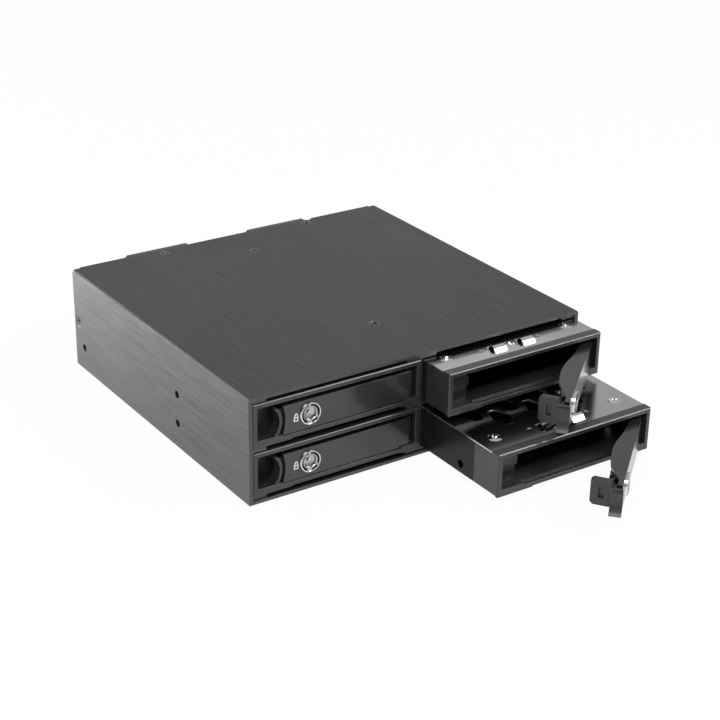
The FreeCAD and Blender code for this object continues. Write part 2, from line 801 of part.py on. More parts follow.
def latch():
    pivot = at(0, hinge_t, 0)
    centre = at(grip_front + grip_radius, -grip_proud, door_middle)
    ring = rod(grip_radius, grip_proud + grip_depth, centre, Y)
    ring = ring.cut(rod(grip_radius - grip_sheet, grip_proud + grip_depth, centre, Y))
    grip = ring.common(door_box(grip_front - 1, grip_front + grip_radius - 2, -2, 9, door_low, door_high))
    bridge = door_box(tab_radius - tab_sheet, grip_front + grip_sheet / 2, bridge_t, grip_depth,
                      door_middle - bridge_half, door_middle + bridge_half)
    slab = door_box(tab_radius - tab_sheet - 3, tab_radius + 1, tab_t[0], tab_t[1],
                    door_middle - tab_half, door_middle + tab_half)
    slab = slab.makeChamfer(tab_corner, edges_along(slab, X, lambda p: True))
    tab = slab.common(rod(tab_radius, tray_height, pivot, Z))
    tab = tab.cut(rod(tab_radius - tab_sheet, tray_height, pivot, Z))
    pocket = door_box(tab_radius - 3, tab_radius + 1, catch_t - catch_half[0], catch_t + catch_half[0],
                      door_middle - catch_half[1], door_middle + catch_half[1])
    tab = tab.cut(pocket.cut(rod(tab_radius - catch_pocket, tray_height, pivot, Z)))
    root = door_box(tail_bar, tab_radius - tab_sheet + 0.5, tail_t[0], tail_t[1],
                    door_middle - tail_half, door_middle + tail_half)
    arm = door_box(tail_end, tail_bar + 1, tail_t[0], tail_t[1],
                   door_middle - tail_half, door_middle - tail_half + tail_strip)
    seat = door_box(tail_end, tail_end + tail_seat, tail_t[0] - 1.6, tail_t[1] + 0.6,
                    door_middle - tail_half, door_middle + tail_half)
    return fuse([grip, bridge, tab, root, arm, seat])


def latch_spring():
    """Folded strip spring between the door's rib and the latch's seat."""
    start = spring_seat[1] + fit_gap
    limbs = 2 * spring_folds + 1
    pitch = (tail_end - fit_gap - spring_strip - start) / (limbs - 1)
    low = door_middle - strip_half
    high = door_middle + strip_half
    strips = []
    for number in range(limbs):
        u = start + number * pitch
        strips.append(door_box(u, u + spring_strip, strip_t, strip_t + strip_width, low, high))
        if number + 1 < limbs:
            z = low if number % 2 else high - spring_strip
            strips.append(door_box(u, u + pitch + spring_strip, strip_t, strip_t + strip_width,
                                   z, z + spring_strip))
    return fuse(strips)


def lock_ring():
    front = at(lock_u, -ring_proud, door_middle)
    ring = turned([(0, ring_radius), (ring_proud, ring_radius)], front, Y, ring_sides)
    return ring.cut(bore(barrel_radius, ring_proud, front, Y, ring_sides))


def lock_barrel():
    front = at(lock_u, -barrel_proud, door_middle)
    barrel = turned([(0, barrel_radius), (barrel_proud + barrel_depth, barrel_radius)], front, Y, ring_sides)
    width, height, depth = keyway
    slot = door_box(lock_u - width / 2, lock_u + width / 2, -barrel_proud - 1, depth - barrel_proud,
                    door_middle - height / 2, door_middle + height / 2)
    hub = bore(hub_radius, tail_t[1] - barrel_depth, at(lock_u, barrel_depth, door_middle), Y, sides)
    cam_height = math.sqrt(cam_reach ** 2 - (cam_width / 2) ** 2)
    cam = door_box(lock_u - cam_width / 2, lock_u + cam_width / 2, tail_t[0], tail_t[1],
                   door_middle, door_middle + cam_height)
    return fuse([barrel.cut(slot), hub, cam])


# ---- put the pieces in place and write them ----
def save(name, shapes):
    if not isinstance(shapes, list):
        shapes = [shapes]
    placed = []
    for shape in shapes:
        copy = shape.copy()
        copy.translate(V(-middle_x, -case_depth / 2, 0))
        placed += copy.Solids
    result = placed[0] if len(placed) == 1 else Part.makeCompound(placed)
    result.exportStep("parts/" + name + ".step")


def in_tray(shapes, bay, swings):
    """Move pieces from the tray frame to the bay, and turn those that swing with the door."""
    x, z, out, angle = bays[bay]
    if not isinstance(shapes, list):
        shapes = [shapes]
    moved = []
    for shape in shapes:
        copy = shape.copy()
        if swings:
            copy.rotate(at(0, hinge_t), Z, angle)
        copy.translate(V(x, -out, z))
        moved.append(copy)
    return moved


housing_pieces = {
    "housing_shell": housing_shell,
    "base_plate": base_plate,
    "centre_divider": centre_divider,
    "rear_panel": rear_panel,
    "cover_screws": cover_screws,
    "base_screws": base_screws,
    "backplane_board": backplane_board,
    "board_screws": board_screws,
    "drive_connectors": drive_connectors,
    "data_connectors": data_connectors,
    "power_connectors": power_connectors,
    "fan_screws": fan_screws,
}
tray_pieces = {
    "bezel": bezel,
    "carrier": carrier,
    "top_plate": top_plate,
    "leaf_springs": leaf_springs,
    "plate_screws": plate_screws,
    "hinge_pin": hinge_pin,
}
door_pieces = {
    "lever": lever,
    "latch": latch,
    "latch_spring": latch_spring,
    "lock_ring": lock_ring,
    "lock_barrel": lock_barrel,
}

os.makedirs("parts", exist_ok=True)
for name, make in housing_pieces.items():
    save(name, make())
for side, x in fan_x.items():
    save(side + "_fan_frame", fan_frame(x))
    save(side + "_fan_rotor", fan_rotor(x))
for pieces, swings in ((tray_pieces, False), (door_pieces, True)):
    for name, make in pieces.items():
        shapes = make()
        for bay in bays:
            save(bay + "_" + name, in_tray(shapes, bay, swings))
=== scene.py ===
"""Hot swap drive cage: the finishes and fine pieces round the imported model.

All lengths are metres in the model's own frame: x to the right, y to the rear, z up.
"""
import json
import math

import bmesh
import bpy
from mathutils import Matrix, Vector


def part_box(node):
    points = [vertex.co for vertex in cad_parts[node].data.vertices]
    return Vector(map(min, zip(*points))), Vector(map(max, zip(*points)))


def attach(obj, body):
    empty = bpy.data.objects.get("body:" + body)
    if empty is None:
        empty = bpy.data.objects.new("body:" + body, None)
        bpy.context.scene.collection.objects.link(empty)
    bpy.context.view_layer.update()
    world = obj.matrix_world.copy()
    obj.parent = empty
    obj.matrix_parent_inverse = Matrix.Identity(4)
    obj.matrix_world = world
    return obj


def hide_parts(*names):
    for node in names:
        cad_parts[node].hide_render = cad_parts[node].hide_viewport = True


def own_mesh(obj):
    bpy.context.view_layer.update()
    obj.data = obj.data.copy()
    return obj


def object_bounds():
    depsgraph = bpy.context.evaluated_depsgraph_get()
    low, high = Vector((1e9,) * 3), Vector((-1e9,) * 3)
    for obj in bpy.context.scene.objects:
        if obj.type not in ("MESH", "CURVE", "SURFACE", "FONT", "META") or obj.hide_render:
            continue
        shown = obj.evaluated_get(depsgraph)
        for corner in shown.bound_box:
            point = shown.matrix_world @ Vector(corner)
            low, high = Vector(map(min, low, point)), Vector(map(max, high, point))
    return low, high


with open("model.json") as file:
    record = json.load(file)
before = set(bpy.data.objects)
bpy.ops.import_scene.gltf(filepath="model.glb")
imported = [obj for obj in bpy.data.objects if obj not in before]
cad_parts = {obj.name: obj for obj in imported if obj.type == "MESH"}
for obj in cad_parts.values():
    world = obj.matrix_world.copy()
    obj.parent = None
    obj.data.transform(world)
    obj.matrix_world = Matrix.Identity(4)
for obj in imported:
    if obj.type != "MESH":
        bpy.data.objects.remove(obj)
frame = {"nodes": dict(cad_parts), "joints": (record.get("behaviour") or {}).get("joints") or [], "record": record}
cad_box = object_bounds()
bodies = frame["record"]["behaviour"]["bodies"]
body_of = {node: body for body, nodes in bodies.items() for node in nodes}
slot_of = {part["node"]: part["material_slot"] for part in frame["record"]["subparts"]}
joints = {joint["name"]: joint for joint in frame["joints"]}
bays = ("upper_left", "lower_left", "upper_right", "lower_right")


# ---- nodes ----
class Value:
    """One output of a node. Arithmetic on it adds Math nodes."""

    def __init__(self, nodes, socket):
        self.nodes = nodes
        self.socket = socket

    def maths(self, operation, *inputs):
        return self.nodes.add("ShaderNodeMath", {"operation": operation}, inputs)

    def __add__(self, other):
        return self.maths("ADD", self, other)

    def __sub__(self, other):
        return self.maths("SUBTRACT", self, other)

    def __rsub__(self, other):
        return self.maths("SUBTRACT", other, self)

    def __mul__(self, other):
        return self.maths("MULTIPLY", self, other)

    def __truediv__(self, other):
        return self.maths("DIVIDE", self, other)

    def __rtruediv__(self, other):
        return self.maths("DIVIDE", other, self)

    __radd__ = __add__
    __rmul__ = __mul__


class Nodes:
    """A node tree, filled a node at a time."""

    def __init__(self, tree):
        self.tree = tree

    def add(self, kind, settings=None, inputs=(), output=0):
        """Add a node. Each input has a value, a link or a list of links, and one output is returned."""
        node = self.tree.nodes.new(kind)
        for key, value in (settings or {}).items():
            setattr(node, key, value)
        pairs = inputs.items() if isinstance(inputs, dict) else enumerate(inputs)
        for key, value in pairs:
            if isinstance(value, Value):
                value = [value]
            if isinstance(value, list):
                for source in value:
                    self.tree.links.new(source.socket, node.inputs[key])
            else:
                node.inputs[key].default_value = value
        return Value(self, node.outputs[output])

    def end(self, kind, name, value):
        """Add the tree's output node and link a value to it."""
        self.tree.links.new(value.socket, self.tree.nodes.new(kind).inputs[name])

    def ray(self, kind):
        """1 for a light path of this kind, and 0 for others."""
        return self.add("ShaderNodeLightPath", output=f"Is {kind} Ray")


# ---- finishes ----
finishes = {}


class Finish(Nodes):
    """A material built from nodes, kept in finishes under its name."""

    def __init__(self, name):
        material = bpy.data.materials.new(name)
        material.use_nodes = True
        material.node_tree.nodes.clear()
        super().__init__(material.node_tree)
        finishes[name] = material

    def place(self, scale):
        """Object coordinates, stretched by a scale along each axis."""
        coordinates = self.add("ShaderNodeTexCoord", output="Object")
        return self.add("ShaderNodeMapping", {}, {"Vector": coordinates, "Scale": scale})

    def noise(self, size, detail, stretch=(1, 1, 1)):
        """Noise from 0 to 1 with features of about this size."""
        scale = tuple(amount / size for amount in stretch)
        return self.add("ShaderNodeTexNoise", {},
                        {"Vector": self.place(scale), "Scale": 1.0, "Detail": detail})

    def spread(self, value, low, high):
        """The part of a value's range from low to high, stretched to run from 0 to 1."""
        return self.add("ShaderNodeMapRange", {}, {"Value": value, "From Min": low, "From Max": high})

    def blend(self, factor, first, second):
        """From one colour to another. A Mix node's inputs share their names, so they go by number."""
        return self.add("ShaderNodeMix", {"data_type": "RGBA"},
                        {0: factor, 6: (*first, 1), 7: (*second, 1)}, output=2)

    def bump(self, height, distance, strength):
        return self.add("ShaderNodeBump", {},
                        {"Height": height, "Distance": distance, "Strength": strength})

    def surface(self, **inputs):
        """End the material in a Principled shader. Its inputs are written with underscores for spaces."""
        named = {key.replace("_", " "): value for key, value in inputs.items()}
        self.end("ShaderNodeOutputMaterial", "Surface", self.add("ShaderNodeBsdfPrincipled", {}, named))


def toned(colour, factor, lift=0.0):
    """A lighter or darker tone of a colour."""
    return tuple(channel * factor + lift for channel in colour)


def brushed_anodised(name, dark, light, stretch):
    """Black anodised sheet with fine brushing along one axis."""
    finish = Finish(name)
    fine = finish.noise(0.00025, detail=2.0, stretch=stretch)
    broad = finish.noise(0.0009, detail=3.0, stretch=stretch)
    cloud = finish.noise(0.05, detail=2.0)
    streaks = fine * 0.7 + broad * 0.3
    finish.surface(Base_Color=finish.blend(finish.spread(streaks, 0.3, 0.7), dark, light),
                   Roughness=streaks * 0.16 + cloud * 0.08 + 0.3,
                   Metallic=0.9,
                   Normal=finish.bump(streaks, distance=0.00001, strength=0.3))


def moulded(name, colour, roughness, grain, depth, coat=0.0, specular=0.5):
    """Moulded plastic: fine grain, slow change of sheen, paler where it has been rubbed.

    The two noises usually add as much to the roughness as is taken off it first.
    """
    finish = Finish(name)
    fine = finish.noise(grain, detail=4.0)
    cloud = finish.noise(0.018, detail=3.0)
    rubbed = finish.spread(cloud, 0.35, 0.75)
    usual = 0.09
    finish.surface(Base_Color=finish.blend(rubbed, colour, toned(colour, 1.5, lift=0.004)),
                   Roughness=cloud * 0.12 + fine * 0.06 + (roughness - usual),
                   Coat_Weight=coat, Coat_Roughness=0.12, Specular_IOR_Level=specular,
                   Normal=finish.bump(fine, depth, strength=0.5))


def polished(name, colour, roughness, marks=0.04):
    """Polished metal with faint rub marks and slow waves in the sheet."""
    finish = Finish(name)
    smear = finish.noise(0.006, detail=4.0, stretch=(1, 0.25, 1))
    speck = finish.noise(0.0007, detail=2.0)
    wave = finish.noise(0.02, detail=1.0)
    finish.surface(Base_Color=finish.blend(smear, colour, toned(colour, 0.86)),
                   Metallic=1.0,
                   Roughness=smear * marks + speck * marks * 0.5 + roughness,
                   Normal=finish.bump(wave, distance=0.00006, strength=0.4))


def printed(name, colour):
    """Thin print, a little uneven."""
    finish = Finish(name)
    mottle = finish.noise(0.0002, detail=2.0)
    finish.surface(Base_Color=finish.blend(mottle, colour, toned(colour, 0.9)),
                   Roughness=mottle * 0.1 + 0.5)


def circuit_board(name):
    """Green lacquer over paler tracks, with the board's weave in its gloss."""
    finish = Finish(name)
    tracks_per_metre = 400
    tracks = finish.add("ShaderNodeTexBrick", {"offset": 0.5}, {
        "Vector": finish.place((tracks_per_metre,) * 3), "Scale": 1.0, "Mortar Size": 0.04,
        "Color1": (0.01, 0.09, 0.045, 1), "Color2": (0.012, 0.11, 0.05, 1),
        "Mortar": (0.02, 0.16, 0.07, 1)})
    weave = finish.noise(0.0005, detail=2.0)
    finish.surface(Base_Color=tracks, Roughness=weave * 0.15 + 0.3,
                   Normal=finish.bump(weave, distance=0.00001, strength=0.4))


brushed_anodised("case_black", dark=(0.068, 0.0665, 0.0665), light=(0.157, 0.153, 0.153),
                 stretch=(1, 0.012, 1))
moulded("plastic_black", (0.02, 0.02, 0.021), 0.32, grain=0.0003, depth=0.000006, coat=0.4)
moulded("door_black", (0.013, 0.013, 0.014), 0.2, grain=0.0006, depth=0.000002, coat=0.6)
moulded("tray_black", (0.006, 0.006, 0.006), 0.3, grain=0.0004, depth=0.000003, specular=0.25)
moulded("grip_black", (0.018, 0.018, 0.019), 0.4, grain=0.00025, depth=0.000008, coat=0.3)
# Near-black finish that paints the shade in each lock's key groove
moulded("recess_black", (0.006, 0.006, 0.006), 0.7, grain=0.0004, depth=0.000005)
polished("nickel", (0.7, 0.69, 0.685), 0.14)
polished("bright_steel", (0.86, 0.86, 0.85), 0.08, marks=0.03)
polished("lock_steel", (0.5, 0.5, 0.49), 0.16, marks=0.06)
polished("steel_sheet", (0.4, 0.4, 0.41), 0.3, marks=0.1)
polished("screw_black", (0.16, 0.16, 0.16), 0.2, marks=0.08)
polished("contact_gold", (0.9, 0.66, 0.3), 0.15, marks=0.05)
circuit_board("board_green")
printed("print_white", (0.75, 0.75, 0.75))


# ---- objects and meshes ----
def scene_object(name, data):
    thing = bpy.data.objects.new(name, data)
    bpy.context.scene.collection.objects.link(thing)
    return thing


def mesh_of(form, name):
    """Turn a bmesh into a mesh and free it."""
    mesh = bpy.data.meshes.new(name)
    form.to_mesh(mesh)
    form.free()
    return mesh


def smooth(mesh, sharp_from):
    """Shade a mesh smooth, but for edges that turn by more than this angle in degrees."""
    mesh.shade_smooth()
    mesh.set_sharp_from_angle(angle=math.radians(sharp_from))


def mesh_object(name, form):
    """Object from a bmesh, with smooth curved faces and sharp edges."""
    bmesh.ops.recalc_face_normals(form, faces=form.faces)
    mesh = mesh_of(form, name)
    smooth(mesh, sharp_from=28)
    return scene_object(name, mesh)


def made_solid(piece):
    """The piece with its modifiers applied, as a plain mesh."""
    bpy.context.view_layer.update()
    graph = bpy.context.evaluated_depsgraph_get()
    solid = scene_object(piece.name, bpy.data.meshes.new_from_object(piece.evaluated_get(graph)))
    bpy.data.objects.remove(piece)
    return solid


def rounded(piece, width):
    """Break the sharp edges of a piece and keep its large faces flat in the light."""
    bevel = piece.modifiers.new("edges", "BEVEL")
    bevel.width = width
    bevel.segments = 2
    bevel.limit_method = "ANGLE"
    bevel.angle_limit = math.radians(35)
    normals = piece.modifiers.new("normals", "WEIGHTED_NORMAL")
    normals.keep_sharp = True
    normals.weight = 80
    return made_solid(piece)


def number_faces(form):
    """Put faces in the order of their corners, so that each run gives the same mesh."""
    form.verts.index_update()
    count = len(form.verts)

    def rank(face):
        corners = [vert.index for vert in face.verts]
        return min(corners) * count + max(corners)

    form.faces.sort(key=rank)


def skin(form, rings):
    """Faces from each ring of points to the next."""
    for near, far in zip(rings, rings[1:]):
        for a in range(len(near)):
            b = (a + 1) % len(near)
            form.faces.new((near[a], near[b], far[b], far[a]))


def closed_tube(form, rings):
    """Faces from ring to ring, and a cap at each end."""
    skin(form, rings)
    form.faces.new(rings[0])
    form.faces.new(list(reversed(rings[-1])))


def lathe(form, stations, sides, place):
    """Closed turned form about the local y axis: (y, radius) stations."""
    rings = []
    for y, radius in stations:
        ring = []
        for number in range(sides):
            angle = 2 * math.pi * number / sides
            corner = Vector((radius * math.cos(angle), y, radius * math.sin(angle)))
            ring.append(form.verts.new(place @ corner))
        rings.append(ring)
    skin(form, rings + rings[:1])


def block(form, low, high, place):
    """Box between two corners."""
    rings = [[form.verts.new(place @ Vector((x, y, z)))
              for x, y in ((low[0], low[1]), (high[0], low[1]), (high[0], high[1]), (low[0], high[1]))]
             for z in (low[2], high[2])]
    closed_tube(form, rings)


# ---- pieces and the CAD nodes ----
def dress(piece, finish):
    piece.data.materials.clear()
    piece.data.materials.append(finishes[finish])


def seat(piece, body, finish):
    """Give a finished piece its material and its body."""
    dress(piece, finish)
    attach(piece, body)
    return piece


def stand_in(piece, node, finish):
    """Put a finished piece in the place of a CAD node, on the node's body."""
    seat(piece, body_of[node], finish)
    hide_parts(node)
    return piece


def welded(node):
    """A CAD node's surface as a bmesh, with its loose triangles joined."""
    same_point = 2e-6
    form = bmesh.new()
    form.from_mesh(frame["nodes"][node].data)
    bmesh.ops.remove_doubles(form, verts=form.verts, dist=same_point)
    return form


def broken_edges(node, width, finish):
    """Stand a copy with broken edges in place of a CAD node."""
    form = welded(node)
    flat = math.radians(0.4)
    bmesh.ops.dissolve_limit(form, angle_limit=flat, verts=form.verts, edges=form.edges)
    return stand_in(rounded(mesh_object(node + "_dressed", form), width), node, finish)


def islands(node):
    """Lowest and highest corner of each separate solid in a CAD node."""
    form = welded(node)
    left = set(form.verts)
    found = []
    while left:
        group = [left.pop()]
        for vert in group:
            for edge in vert.link_edges:
                other = edge.other_vert(vert)
                if other in left:
                    left.remove(other)
                    group.append(other)
        low = Vector([min(v.co[k] for v in group) for k in range(3)])
        high = Vector([max(v.co[k] for v in group) for k in range(3)])
        found.append((low, high))
    form.free()
    return sorted(found, key=lambda pair: tuple(pair[0]))


# ---- geometry node trees ----
class Growth(Nodes):
    """A Geometry Nodes tree that grows copies on a mesh, with named inputs for its sizes."""

    def __init__(self, name, kinds):
        """Kinds gives each input's name and its kind of socket."""
        super().__init__(bpy.data.node_groups.new(name, "GeometryNodeTree"))
        kinds = {"Geometry": "Geometry", **kinds, "Material": "Material"}
        face = self.tree.interface
        self.identifiers = {}
        for label, kind in kinds.items():
            socket = face.new_socket(label, in_out="INPUT", socket_type="NodeSocket" + kind)
            self.identifiers[label] = socket.identifier
        face.new_socket("Geometry", in_out="OUTPUT", socket_type="NodeSocketGeometry")
        sources = self.tree.nodes.new("NodeGroupInput").outputs
        self.given = {label: Value(self, sources[label]) for label in kinds}

    def vector(self, **parts):
        return self.add("ShaderNodeCombineXYZ", {}, parts)

    def copies(self, points, piece, **turn):
        """A copy of the piece on every point."""
        return self.add("GeometryNodeInstanceOnPoints", {}, {"Points": points, "Instance": piece, **turn})

    def painted(self, copies):
        """The tree, ended with real copies in the given material."""
        real = self.add("GeometryNodeRealizeInstances", {}, {"Geometry": copies})
        paint = self.add("GeometryNodeSetMaterial", {},
                         {"Geometry": real, "Material": self.given["Material"]})
        self.end("NodeGroupOutput", "Geometry", paint)
        return self

    def grow(self, name, mesh, finish, sizes):
        """Run the tree on a mesh and return the result as a plain mesh object."""
        piece = scene_object(name, mesh)
        modifier = piece.modifiers.new("copies", "NODES")
        modifier.node_group = self.tree
        for label, value in {**sizes, "Material": finishes[finish]}.items():
            modifier[self.identifiers[label]] = value
        piece = made_solid(piece)
        smooth(piece.data, sharp_from=24)
        return piece


def screw_growth():
    """Cross recess screws: a sunk cone, a low dome and a shank, on every point.

    A point's attributes are outward, the way that its screw looks, and spin, the screw's own turn.
    """
    sizes = ("Head Radius", "Rise", "Sink", "Shank Radius", "Length",
             "Recess Width", "Recess Span", "Recess Depth")
    growth = Growth("cross_recess_screws", dict.fromkeys(sizes, "Float"))
    head, rise, sink, shank, length, width, span, recess = (growth.given[size] for size in sizes)
    sides = 36
    clear = 0.0001
    half_diagonal = 0.707
    foot_share = 0.25

    def transformed(geometry, **change):
        return growth.add("GeometryNodeTransform", {}, {"Geometry": geometry, **change})

    def cone(corners, top, bottom, depth, foot):
        """A cone with its lower end at the height of its foot."""
        upright = growth.add("GeometryNodeMeshCone", {}, {
            "Vertices": corners, "Radius Top": top, "Radius Bottom": bottom, "Depth": depth})
        return transformed(upright, Translation=growth.vector(Z=foot))

    def solid(operation, inputs):
        return growth.add("GeometryNodeMeshBoolean", {"operation": operation, "solver": "EXACT"}, inputs)

    def of_point(name, kind):
        return growth.add("GeometryNodeInputNamedAttribute", {"data_type": kind}, {"Name": name})

    ball = growth.add("GeometryNodeMeshUVSphere", {},
                      {"Segments": sides, "Rings": sides // 2, "Radius": 1.0})
    body = solid("UNION", {"Mesh 2": [
        cone(sides, head, shank, sink, 0 - sink), cone(sides, shank, shank, length, 0 - length),
        transformed(ball, Scale=growth.vector(X=head, Y=head, Z=rise))]})
    # The recess is cut by a square wedge that stands clear of the head, narrowed along each axis in turn
    depth = recess + clear
    wedge = cone(4, span * half_diagonal, span * foot_share, depth, rise + clear - depth)
    square = transformed(wedge, Rotation=(0, 0, math.pi / 4))
    narrow = width / span
    cross = solid("UNION", {"Mesh 2": [
        transformed(square, Scale=growth.vector(X=narrow, Y=1.0, Z=1.0)),
        transformed(square, Scale=growth.vector(X=1.0, Y=narrow, Z=1.0))]})
    screw = solid("DIFFERENCE", {"Mesh 1": body, "Mesh 2": cross})
    look = growth.add("FunctionNodeAlignRotationToVector", {"axis": "Z"},
                      {"Vector": of_point("outward", "FLOAT_VECTOR")})
    turn = growth.add("FunctionNodeAxisAngleToRotation", {},
                      {"Axis": (0, 0, 1), "Angle": of_point("spin", "FLOAT")})
    both = growth.add("FunctionNodeRotateRotation", {"rotation_space": "LOCAL"},
                      {"Rotation": look, "Rotate By": turn})
    return growth.painted(growth.copies(growth.given["Geometry"], screw, Rotation=both))


def turned_copies_growth():
    """Copies of a piece at a centre, each turned further about the y axis."""
    growth = Growth("turned_copies", {"Count": "Int", "Centre": "Vector"})
    given = growth.given
    points = growth.add("GeometryNodePoints", {}, {"Count": given["Count"], "Position": given["Centre"]})
    angle = growth.add("GeometryNodeInputIndex") * (2 * math.pi / given["Count"])
    turn = growth.add("FunctionNodeAxisAngleToRotation", {}, {"Axis": (0, 1, 0), "Angle": angle})
    return growth.painted(growth.copies(points, given["Geometry"], Rotation=turn))


def contact_growth():
    """A row of contact strips along x, with its middle on every point."""
    growth = Growth("contact_rows", {"Count": "Int", "Pitch": "Float", "Size": "Vector"})
    given = growth.given
    pitch = given["Pitch"]
    strip = growth.add("GeometryNodeMeshCube", {}, {"Size": given["Size"]})
    start = pitch * 0.5 - given["Count"] * pitch * 0.5
    line = growth.add("GeometryNodeMeshLine", {"mode": "OFFSET"}, {
        "Count": given["Count"], "Start Location": growth.vector(X=start),
        "Offset": growth.vector(X=pitch)})
    return growth.painted(growth.copies(given["Geometry"], growth.copies(line, strip)))


def point_mesh(name, points):
    mesh = bpy.data.meshes.new(name)
    mesh.from_pydata([tuple(point) for point in points], [], [])
    return mesh


screws = screw_growth()
turned_copies = turned_copies_growth()
contacts = contact_growth()


# ---- screws ----
# Each kind of screw, by the names of the tree's inputs
flat_head = {"Head Radius": 0.00258, "Rise": 0.00012, "Sink": 0.0011,
             "Shank Radius": 0.00148, "Length": 0.0024,
             "Recess Width": 0.00075, "Recess Span": 0.0028, "Recess Depth": 0.0009}
board_head = {"Head Radius": 0.0017, "Rise": 0.0011, "Sink": 0.0001,
              "Shank Radius": 0.00078, "Length": 0.006,
              "Recess Width": 0.0005, "Recess Span": 0.0019, "Recess Depth": 0.0008}
fan_head = {"Head Radius": 0.0028, "Rise": 0.0016, "Sink": 0.0001,
            "Shank Radius": 0.00148, "Length": 0.0108,
            "Recess Width": 0.0008, "Recess Span": 0.003, "Recess Depth": 0.0012}
plate_head = {"Head Radius": 0.0027, "Rise": 0.00045, "Sink": 0.0006,
              "Shank Radius": 0.00148, "Length": 0.0022,
              "Recess Width": 0.0008, "Recess Span": 0.003, "Recess Depth": 0.001}


def dress_screws(node, outward_of, finish, head, spin=0.3):
    """Put cross recess screws in the place of a node's screws, each turned on from the last."""
    turn_on = 0.7
    places = []
    outwards = []
    for low, high in islands(node):
        outward = Vector(outward_of(low, high))
        face = (low + high) / 2 + outward * (high - low) / 2
        places.append(face - outward * head["Rise"])
        outwards.append(outward)
    points = point_mesh(node, places)
    points.attributes.new("outward", "FLOAT_VECTOR", "POINT")
    points.attributes.new("spin", "FLOAT", "POINT")
    for number, outward in enumerate(outwards):
        points.attributes["outward"].data[number].vector = outward
        points.attributes["spin"].data[number].value = spin + turn_on * number
    stand_in(screws.grow(node + "_dressed", points, finish, head), node, finish)


def facing(*outward):
    """The same way for each of a node's screws."""
    return lambda low, high: outward


def out_of_cover(low, high):
    """Up where a screw reaches the case's top, and otherwise to the screw's own side."""
    near_top = 2e-5
    if high.z > cad_box[1].z - near_top:
        return (0, 0, 1)
    return (math.copysign(1, low.x + high.x), 0, 0)


dress_screws("cover_screws", out_of_cover, "screw_black", flat_head)
dress_screws("base_screws", facing(0, 0, -1), "screw_black", flat_head)
dress_screws("board_screws", facing(0, 1, 0), "bright_steel", board_head)
dress_screws("fan_screws", facing(0, 1, 0), "bright_steel", fan_head)
for number, bay in enumerate(bays):
    dress_screws(bay + "_plate_screws", facing(0, 0, 1), "bright_steel", plate_head, spin=0.4 + number)


# ---- housing and tray pieces with broken edges ----
# The width of each node's edges, and its finish
housing_edges = {
    "housing_shell": (0.00018, "case_black"),
    "base_plate": (0.0001, "case_black"),
    "centre_divider": (0.0001, "case_black"),
    "rear_panel": (0.0001, "case_black"),
    "left_fan_frame": (0.0002, "plastic_black"),
    "right_fan_frame": (0.0002, "plastic_black"),
    "drive_connectors": (0.0001, "plastic_black"),
    "data_connectors": (0.00015, "plastic_black"),
    "power_connectors": (0.00015, "plastic_black"),
}
tray_edges = {
    "bezel": (0.0003, "plastic_black"),
    "carrier": (0.00006, "tray_black"),
    "top_plate": (0.00028, "nickel"),
    "lever": (0.00015, "door_black"),
    "latch": (0.0003, "grip_black"),
}
for node, (width, finish) in housing_edges.items():
    broken_edges(node, width, finish)
for bay in bays:
    for name, (width, finish) in tray_edges.items():
        broken_edges(bay + "_" + name, width, finish)


# ---- springs ----
def leaf_springs(bay):
    """Bent strips: a flat foot at each end and an arch between.

    The arch is a sine raised to a power, which eases it into its feet.
    """
    node = bay + "_leaf_springs"
    sheet = 0.00025
    foot = 0.0011
    power = 1.15
    steps = 20
    form = bmesh.new()
    for low, high in islands(node):
        span = high.y - low.y - 2 * foot
        rise = high.z - low.z - sheet
        line = [(0.0, 0.0)]
        for number in range(steps + 1):
            along = number / steps
            line.append((foot + span * along, rise * math.sin(math.pi * along) ** power))
        line.append((span + 2 * foot, 0.0))
        rings = []
        for y, z in line:
            corners = [(low.x, z), (high.x, z), (high.x, z + sheet), (low.x, z + sheet)]
            rings.append([form.verts.new((x, low.y + y, low.z + up)) for x, up in corners])
        closed_tube(form, rings)
    stand_in(mesh_object(node + "_dressed", form), node, "bright_steel")


def latch_spring(bay):
    """Folded strip of the latch, in bright steel with broken edges."""
    strip_edge = 0.00004
    piece = broken_edges(bay + "_latch_spring", strip_edge, "bright_steel")
    joint = joints[bay + "_latch_slide"]
    axis = Vector(joint["axis"]).normalized()
    along = [axis.dot(vert.co) for vert in piece.data.vertices]
    length = max(along) - min(along)
    travel = max(abs(limit) for limit in joint["range_m"])
    1 - travel / length
    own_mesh(piece)


for bay in bays:
    leaf_springs(bay)
    latch_spring(bay)


# ---- locks ----
# Depths run inwards from the door's face, and forms that reach the axis stop a hair short of it
lock_sides = 64
groove_floor = 0.0002
groove_wall = 0.0036
collar = 0.003
near_axis = 0.00001


def lock_place(bay):
    """Local frame of a lock: x towards the hinge, y inwards, z up, from the door's face."""
    joint = joints[bay + "_lock_turn"]
    inward = Vector(joint["axis"]).normalized()
    up = Vector((0, 0, 1))
    turn = Matrix((inward.cross(up), inward, up)).transposed().to_4x4()
    return Matrix.Translation(Vector(joint["pos_m"])) @ turn


def lock_ring(bay):
    """Thin flange of the lock, round over its outer edge."""
    node = bay + "_lock_ring"
    rim = 0.00425
    bore = 0.0037
    form = bmesh.new()
    lathe(form, [(0.0, rim), (-0.00065, rim), (-0.0009, 0.00416), (-0.001, 0.004),
                 (-0.001, 0.00382), (-0.0009, bore), (0.0, bore)], lock_sides, lock_place(bay))
    stand_in(mesh_object(node + "_dressed", form), node, "bright_steel")


